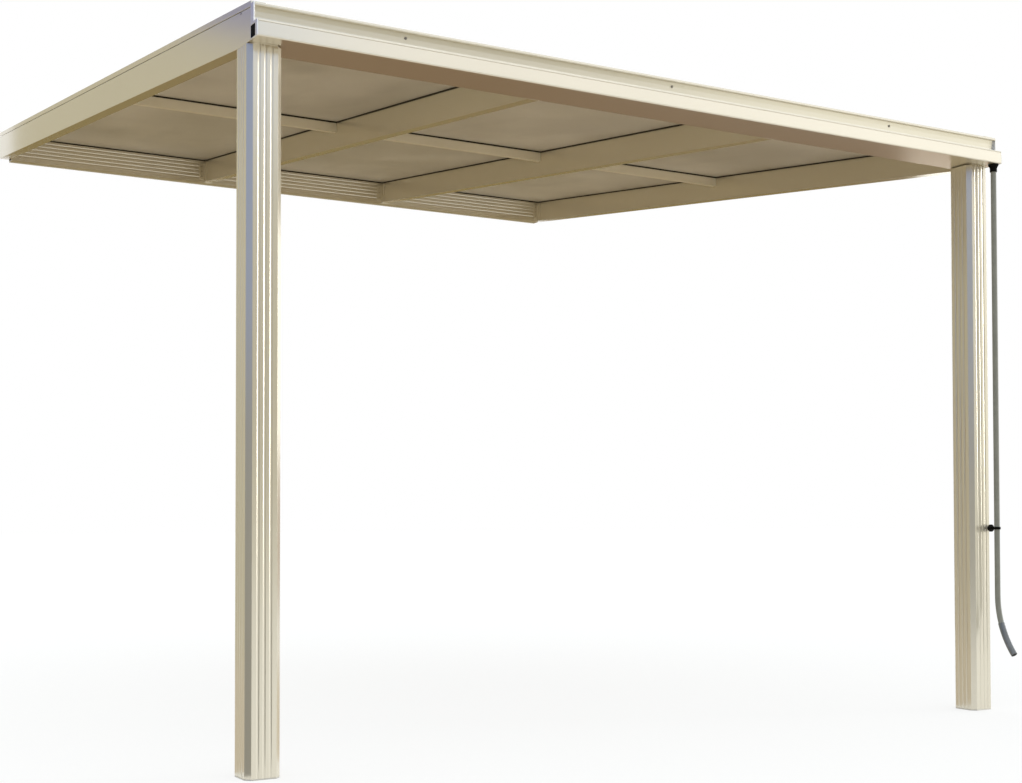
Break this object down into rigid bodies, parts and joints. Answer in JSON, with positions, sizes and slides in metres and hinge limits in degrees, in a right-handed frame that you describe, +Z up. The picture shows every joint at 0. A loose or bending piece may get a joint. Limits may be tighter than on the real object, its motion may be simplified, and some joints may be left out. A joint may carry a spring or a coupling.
{
  "type": "patio cover",
  "caption": "Lean-to patio cover with fluted square posts, a stepped gutter beam, sloping rafters, milky roof panels, a fluted wall ledger and a thin downpipe.",
  "frame": {"origin": "on the ledger's flat back face, midway between its ends and 2.5 m above the ground under the posts", "axes": "+Y into the wall that the ledger is fixed to, X along the wall, +Z up"},
  "size_m": [3.05, 3.4526, 2.6248],
  "materials": {
    "champagne_finish": "satin champagne coating on extruded aluminium",
    "plain_metal": "plain mill aluminium",
    "panel_sheet": "milky translucent polycarbonate sheet",
    "seal_rubber": "dark brown rubber",
    "black_plastic": "black moulded plastic",
    "pipe_finish": "satin grey-beige pipe",
    "shoe_plastic": "glossy grey plastic"
  },
  "bodies": {
    "root": {"cap_strip_left": "champagne_finish", "cap_strip_right": "champagne_finish", "downpipe": "pipe_finish", "downpipe_outlet": "black_plastic", "downpipe_shoe": "shoe_plastic", "gutter_beam": "champagne_finish", "gutter_end_left": "champagne_finish", "gutter_end_right": "champagne_finish", "joint_strip_left": "champagne_finish", "joint_strip_middle": "champagne_finish", "joint_strip_right": "champagne_finish", "ledger_brackets": "champagne_finish", "nose_plug_left": "black_plastic", "nose_plug_right": "black_plastic", "pipe_clip": "black_plastic", "post_foot_left": "plain_metal", "post_foot_right": "plain_metal", "post_head_left": "champagne_finish", "post_head_right": "champagne_finish", "post_left": "champagne_finish", "post_right": "champagne_finish", "purlin_left": "champagne_finish", "purlin_middle": "champagne_finish", "purlin_right": "champagne_finish", "rafter_end_left": "champagne_finish", "rafter_end_right": "champagne_finish", "rafter_left": "champagne_finish", "rafter_right": "champagne_finish", "roof_panel_left_back": "panel_sheet", "roof_panel_left_front": "panel_sheet", "roof_panel_middle_back": "panel_sheet", "roof_panel_middle_front": "panel_sheet", "roof_panel_right_back": "panel_sheet", "roof_panel_right_front": "panel_sheet", "seal_left": "seal_rubber", "seal_middle": "seal_rubber", "seal_right": "seal_rubber", "side_cap_left": "champagne_finish", "side_cap_right": "champagne_finish", "side_rafter_left": "champagne_finish", "side_rafter_right": "champagne_finish", "wall_flashing": "champagne_finish", "wall_ledger": "champagne_finish"}
  },
  "joints": []
}
